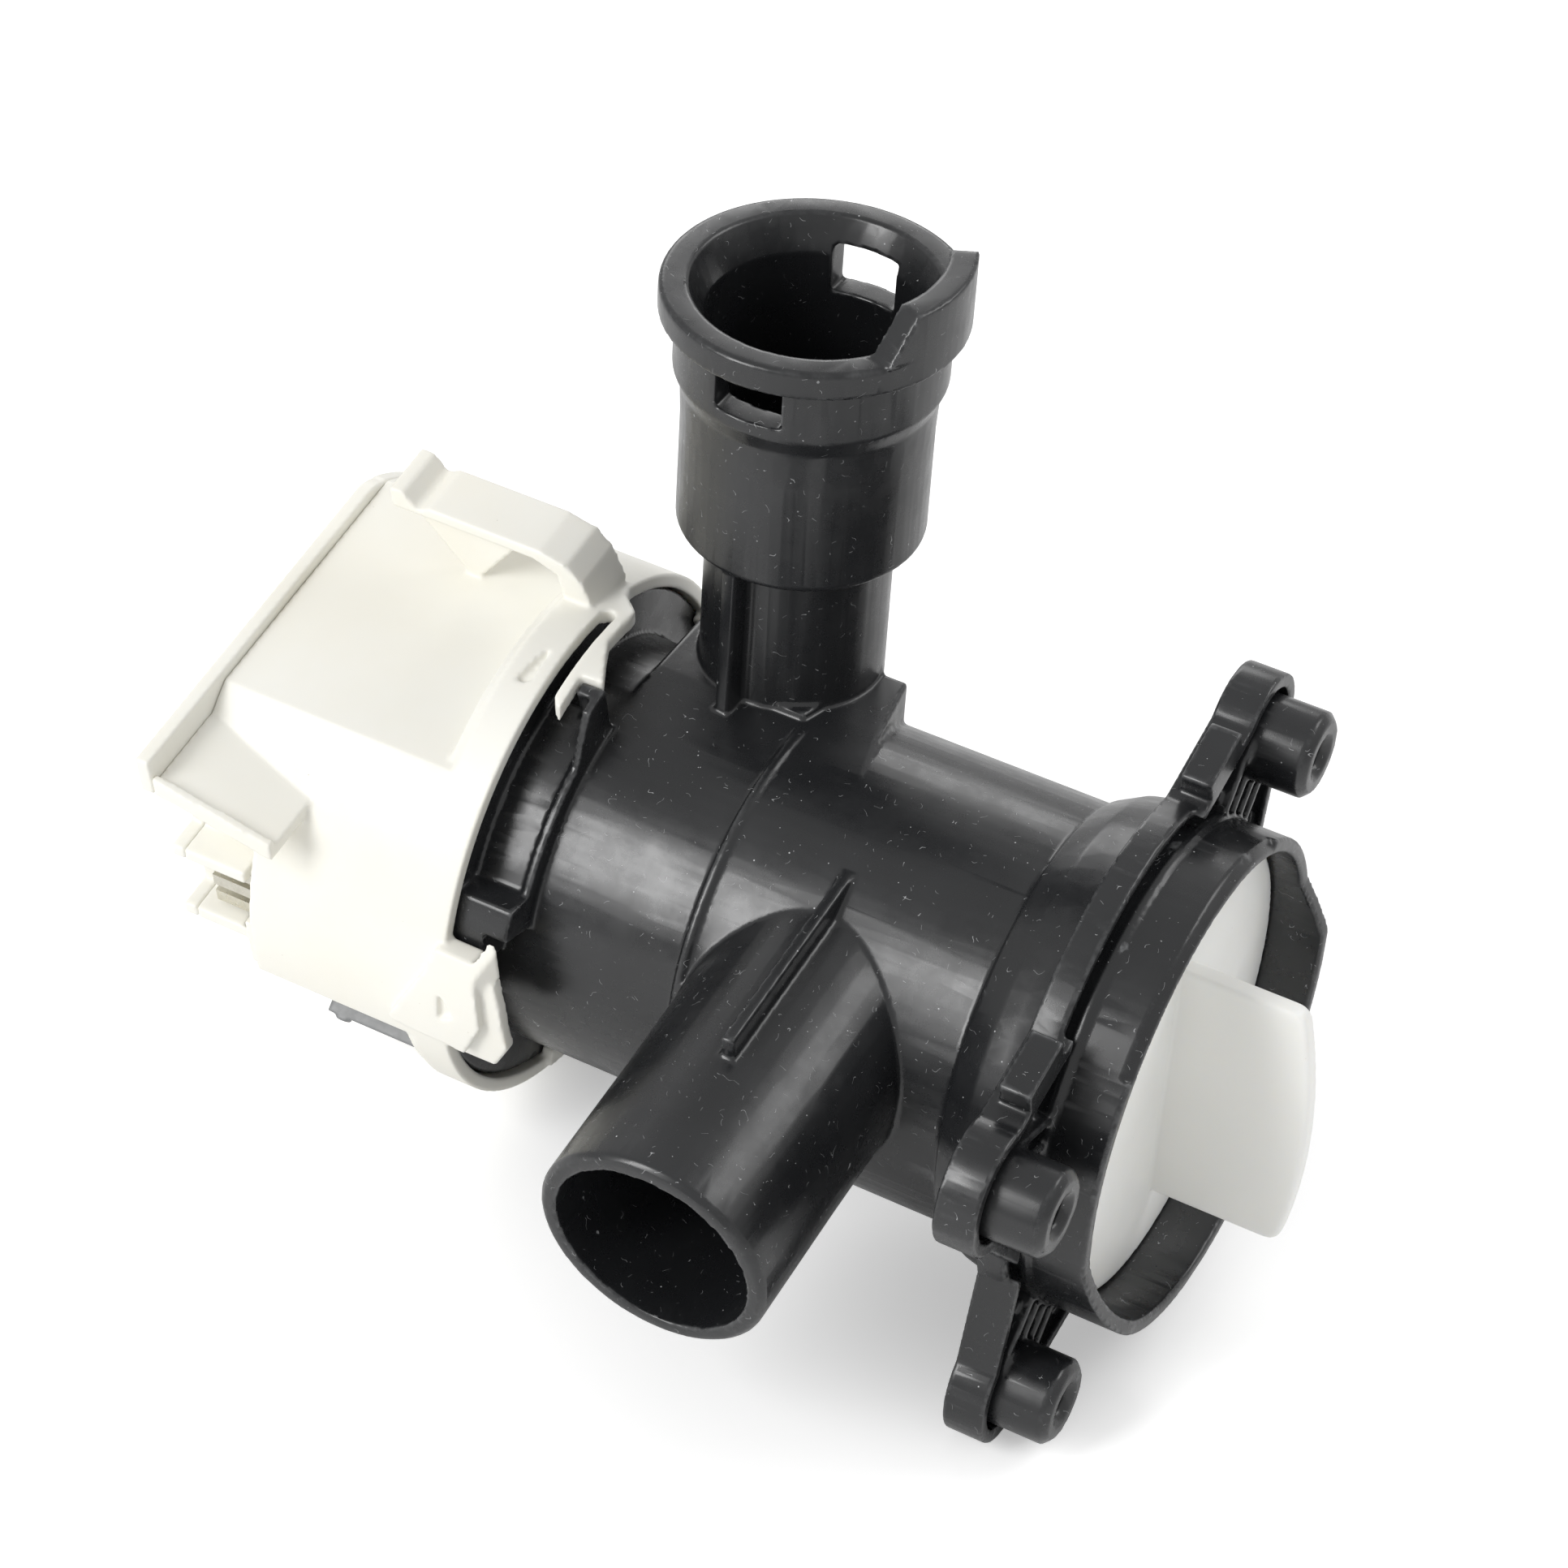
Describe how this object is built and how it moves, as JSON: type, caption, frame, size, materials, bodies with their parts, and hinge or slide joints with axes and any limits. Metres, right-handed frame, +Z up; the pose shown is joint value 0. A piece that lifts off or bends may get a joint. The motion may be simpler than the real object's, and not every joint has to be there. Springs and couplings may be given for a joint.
{
  "type": "washer drain pump",
  "caption": "Drain pump with a horizontal filter chamber and screw-in filter, an inlet branch, an upright hose socket and a motor locked on at the back.",
  "frame": {"origin": "on the pump axis, in the plane of the three screw boss faces", "axes": "+X along the pump axis out of the filter mouth, +Z up along the hose socket, inlet branch toward -Y"},
  "size_m": [0.1468, 0.1008, 0.131],
  "materials": {
    "black_housing": "satin moulded polypropylene",
    "white_filter": "satin, slightly translucent",
    "cream_cover": "satin moulded",
    "grey_slide": "satin moulded",
    "black_rubber": "matt",
    "cover_plastic": "matt",
    "impeller_plastic": "satin",
    "shaft_steel": "ground",
    "ferrite": "matt sintered",
    "sleeve_plastic": "matt",
    "bush_carbon": "smooth",
    "washer_plastic": "smooth",
    "core_steel": "stamped laminations",
    "bobbin_plastic": "satin",
    "copper_wire": "enamelled",
    "board_laminate": "satin",
    "can_aluminium": "satin",
    "chip_black": "matt",
    "terminal_metal": "tinned"
  },
  "bodies": {
    "pump_body": {"pump_housing": "black_housing", "pump_cover": "cover_plastic", "cover_seal": "black_rubber", "motor_cover": "cream_cover", "rear_cover": "cream_cover", "stator_core": "core_steel", "bobbins": "bobbin_plastic", "windings": "copper_wire", "circuit_board": "board_laminate", "capacitors": "can_aluminium", "board_chips": "chip_black", "connector_terminals": "terminal_metal", "front_bearing": "bush_carbon", "rear_bearing": "bush_carbon", "bearing_holder": "black_rubber"},
    "rotor": {"impeller": "impeller_plastic", "rotor_shaft": "shaft_steel", "rotor_sleeve": "sleeve_plastic", "rotor_magnet": "ferrite", "thrust_washer": "washer_plastic"},
    "seal_ring": {"filter_seal": "black_rubber"},
    "filter": {"filter_cap": "white_filter", "filter_basket": "white_filter"},
    "lock": {"lock_slide": "grey_slide"}
  },
  "joints": [
    {"name": "rotor_spin", "type": "hinge", "parent": "pump_body", "child": "rotor", "pos_m": [-0.09, 0, 0], "axis": [1, 0, 0], "continuous": true},
    {"name": "filter_draw", "type": "slide", "parent": "pump_body", "child": "seal_ring", "axis": [1, 0, 0], "range_m": [0, 0.009]},
    {"name": "filter_turn", "type": "hinge", "parent": "seal_ring", "child": "filter", "pos_m": [0, 0, 0], "axis": [1, 0, 0], "range_deg": [0, 540]},
    {"name": "lock_release", "type": "slide", "parent": "pump_body", "child": "lock", "axis": [1, 0, 0], "range_m": [-0.006, 0]}
  ],
  "couplings": [
    {"joint": "filter_draw", "follows": "filter_turn", "m_per_rad": 0.00095}
  ]
}
